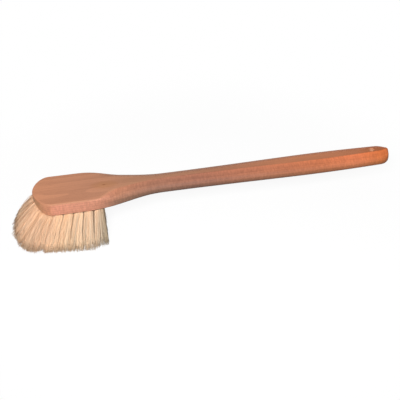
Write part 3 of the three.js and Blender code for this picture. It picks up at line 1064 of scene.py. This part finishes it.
def tuft_faces(fibres, rings):
    """Faces of a whole tuft. A fibre has four sides, so its caps are quads too."""
    one = np.array(loft_faces(rings, FIBRE_SIDES))
    first = (np.arange(fibres) * rings * FIBRE_SIDES)[:, None, None]
    sides, caps = one[:-2] + first, one[-2:] + first
    return np.concatenate([sides.reshape(-1, FIBRE_SIDES), caps.reshape(-1, FIBRE_SIDES)])


def make_tuft(number, tuft):
    rng = np.random.default_rng(SEED + number)
    points = sweep(hairpin_paths(tuft, rng), hole_axes(tuft)[0], rng)
    faces = tuft_faces(*points.shape[:2]).tolist()
    return mesh_piece(f"tuft_{number:02d}", points.reshape(-1, 3), faces), points, rng


print("fibres are about", 2 * ROOT_THICK, "mm thick at the fold and", 2 * TIP_THICK, "at the tips")

# %% [markdown]
# ## Numbers for the finish
# No two fibres look alike, so four numbers are kept on every point: a fibre's own tone, the tone of
# its lock, how far along it the point is, and how deep inside the brush the fibre stands.
# Thirty materials would give less variety than these numbers give to one.
# Each fibre also gets its own strip in a UV map, so that its colours can be painted into a picture
# for another program.

# %% Mark the fibres
STRIP_ROWS, STRIP_FILL = 4, 0.86
RIM_OFFSET, RIM_DEPTH, RIM_STEP = -1.0, 6.0, 3


def depth_inside(points):
    """From 0 at the rim of the brush to 1 deep inside it, judged a few steps out of the wood."""
    steps = len(OUTSIDE_STEPS)
    near_wood = points[:, [steps - 1 - RIM_STEP, RIM_STEP - steps]].mean(axis=2)
    x, y = near_wood[..., 0], near_wood[..., 1]
    front = column_x(np.zeros(x.shape, int), y)
    back = column_x(np.full(x.shape, len(COLUMN_BOW) - 1), y)
    rim = np.minimum(np.minimum(x - front, back - x), OUTER_ROW - np.abs(y))
    return np.clip((rim + RIM_OFFSET) / RIM_DEPTH, 0, 1)


def lock_tones(rng):
    """A tone for both halves of each hairpin, the same for all that end in one lock."""
    along, across = np.divmod(np.arange(math.prod(HAIRPINS)), HAIRPINS[1])
    share = (across + 0.5) / HAIRPINS[1]
    halves = np.stack([1 + share, 1 - share], axis=1) / 2
    tones = rng.random(LOCKS)
    return tones[(along * LOCKS[0] // HAIRPINS[0])[:, None], (halves * LOCKS[1]).astype(int)]


def strip_corners(fibres, rings):
    """UV places of one tuft: each fibre is a strip, with a column for each side."""
    columns = math.ceil(fibres / STRIP_ROWS)
    fibre = np.arange(fibres)[:, None, None, None]
    ring = np.arange(rings - 1)[:, None, None]
    side = np.arange(FIBRE_SIDES)[:, None]
    step_side, step_ring = np.array([0, 1, 1, 0]), np.array([0, 0, 1, 1])
    u = (fibre % columns + STRIP_FILL * (side + step_side) / FIBRE_SIDES) / columns
    v = (fibre // columns + STRIP_FILL * (ring + step_ring) / (rings - 1)) / STRIP_ROWS
    return np.stack(np.broadcast_arrays(u, v), axis=-1).reshape(-1, 2)


def lay_strips(mesh, fibres, rings):
    strips = strip_corners(fibres, rings)
    caps = np.zeros((fibres * 2 * FIBRE_SIDES, 2)) + strips[0]
    places = np.concatenate([strips, caps]).astype(np.float32)
    mesh.uv_layers.new(name="OFBake").data.foreach_set("uv", places.ravel())


def mark_fibres(piece, points, rng):
    mesh = piece.data
    fibres, rings = points.shape[:2]
    halves = [rings // 2, rings - rings // 2]
    numbers = {
        "tone": rng.random((fibres, 1)),
        "along": from_fold(rings)[None],
        "inside": np.repeat(depth_inside(points), halves, axis=1),
        "lock": np.repeat(lock_tones(rng), halves, axis=1),
    }
    for name, values in numbers.items():
        on_points = np.broadcast_to(values[..., None], points.shape[:3]).astype(np.float32)
        mesh.attributes.new(name, "FLOAT", "POINT").data.foreach_set("value", on_points.ravel())
    lay_strips(mesh, fibres, rings)
    mesh.polygons.foreach_set("use_smooth", [True] * len(mesh.polygons))


print("strips:", STRIP_ROWS, "rows of", math.ceil(math.prod(HAIRPINS) / STRIP_ROWS), "for each tuft")

# %% [markdown]
# ## Thirty tufts
# On the bench the tufts are separate bundles, so each one is a piece of its own here. The frame holds
# them as four zones, each with one or two columns, and every tuft stands for its part of a zone.
# Copies of one tuft would be quicker, but then the same stray fibres would show thirty times, so each
# tuft has random numbers of its own. They start from a fixed seed and are the same on every run.

# %% Make the tufts
ZONES = ["tufts_front", "tufts_fore", "tufts_fore", "tufts_rear", "tufts_rear", "tufts_back"]
tufts = []
for number, tuft in enumerate(tuft_places, start=1):
    piece, points, rng = make_tuft(number, tuft)
    mark_fibres(piece, points, rng)
    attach(piece, "root")
    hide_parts(ZONES[tuft[0]])
    tufts.append(piece)
print("tufts:", len(tufts), "with", sum(len(piece.data.polygons) for piece in tufts), "faces")

# %% [markdown]
# ## Tampico finish
# Tampico is a dry leaf fibre, from cream to pale straw, and no two fibres have quite the same tone.
# The number kept on each fibre picks its tone from a ramp, and its lock's number makes it lighter or
# darker. Towards the root the fibres are browner. Deep inside the brush they are much darker, as
# painted shade among the tufts. Along the head the tone shifts from warm at the nose to cooler and
# greyer at the back, where the last fibres are darker as painted shade, turned away from the lamp.
# A hair shader would let light through each strand, but is meant for real hair. A leaf fibre has a
# dull, slightly waxy sheen, so a plain rough surface does, and its roughness varies along it.

# %% Tampico material
FIBRE_TONES = [
    (0.0, shade(234, 200, 164)),
    (0.3, shade(248, 220, 187)),
    (0.7, shade(250, 228, 197)),
    (1.0, shade(248, 232, 208)),
]
# Browner towards the root.
ROOT_TONES = [
    (0.2, shade(206, 168, 138)),
    (0.45, shade(250, 236, 226)),
    (0.8, shade(252, 246, 242)),
    (1.0, shade(250, 246, 242)),
]
# Painted shade deep inside the brush, darkest at the wood.
DEEP_SHADE = [
    (0.25, shade(100, 76, 58)),
    (0.6, shade(188, 162, 138)),
    (0.85, shade(250, 246, 242)),
]
# From warm at the nose to cool at the back, and darker at the very back as painted shade.
HEAD_CAST_AND_BACK_SHADE = [
    (0.0, shade(248, 236, 231)),
    (0.45, shade(248, 243, 238)),
    (0.86, shade(240, 243, 248)),
    (0.93, shade(200, 206, 208)),
]
HEAD_CAST_SPAN = (0.0, 97.0)
LOCK_SHADES = (0.9, 1.1)
FIBRE_SPECKLE = 900.0
FIBRE_ROUGHNESS, FIBRE_SPECULAR = (0.5, 0.85), 0.3


def kept_number(tree, name):
    return add_node(tree, "Attribute", attribute_name=name).outputs["Fac"]


def tampico():
    material, tree, fibre = new_finish("tampico")
    along = kept_number(tree, "along")
    tone = colour_ramp(tree, kept_number(tree, "tone"), FIBRE_TONES)
    tone = tinted(tree, tone, colour_ramp(tree, along, ROOT_TONES))
    # Painted shade on the fibres deep inside the brush.
    tone = tinted(tree, tone, colour_ramp(tree, along, DEEP_SHADE), kept_number(tree, "inside"))
    place = add_node(tree, "TexCoord").outputs["Object"]
    head = [x * MM for x in along_board(*HEAD_CAST_SPAN)]
    share = place_in(tree, add_node(tree, "SeparateXYZ", {0: place}).outputs["X"], head)
    # Cast along the head, with painted shade at the back.
    tone = tinted(tree, tone, colour_ramp(tree, share, HEAD_CAST_AND_BACK_SHADE))
    tone = brightened(tree, tone, place_in(tree, kept_number(tree, "lock"), WHOLE, LOCK_SHADES))
    speckle = {"Vector": place, "Scale": FIBRE_SPECKLE, "Detail": SOFT_DETAIL}
    shine = add_node(tree, "TexNoise", speckle).outputs["Fac"]
    finish = {"Base Color": tone, "Roughness": place_in(tree, shine, WHOLE, FIBRE_ROUGHNESS)}
    fill(tree, fibre, finish | {"Specular IOR Level": FIBRE_SPECULAR})
    return material


fibre_finish = tampico()
for piece in tufts:
    piece.data.materials.append(fibre_finish)
print("tampico on", len(tufts), "tufts")

# %% [markdown]
# ## Staples
# The staples sit deep in the wood and never show, but a cut-away picture would meet them.
# Their shape in the frame is right, a bent wire with a crown and two legs, so they stay as they are
# and only get the finish of drawn steel wire: fine lines along the legs that vary how they shine.

# %% Steel wire material
STEEL = shade(186, 188, 190)
DRAWN_LINES = (4000.0, 4000.0, 200.0)
STEEL_ROUGHNESS = (0.25, 0.5)


def drawn_steel():
    material, tree, wire = new_finish("drawn_steel")
    lines = noise(tree, add_node(tree, "TexCoord").outputs["Object"], DRAWN_LINES)
    finish = {"Base Color": STEEL, "Metallic": 1.0}
    fill(tree, wire, finish | {"Roughness": place_in(tree, lines, WHOLE, STEEL_ROUGHNESS)})
    return material


steel = drawn_steel()
staples = [node for name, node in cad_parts.items() if name.startswith("staple_")]
for staple in staples:
    staple.data.materials.clear()
    staple.data.materials.append(steel)
print("steel on", len(staples), "staples")

# %% [markdown]
# ## The last measure
# The dressed brush is measured against the box that was kept at the start, and both boxes are
# printed. Fibre ends stand some millimetres proud of the solids, and the wood's finer round ends a
# third of a millimetre.

# %% Measure the sizes
visual_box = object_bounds()
for name, box in (("cad", cad_box), ("visual", visual_box)):
    print(name, "box in mm:", [[round(value / MM, 1) for value in corner] for corner in box])
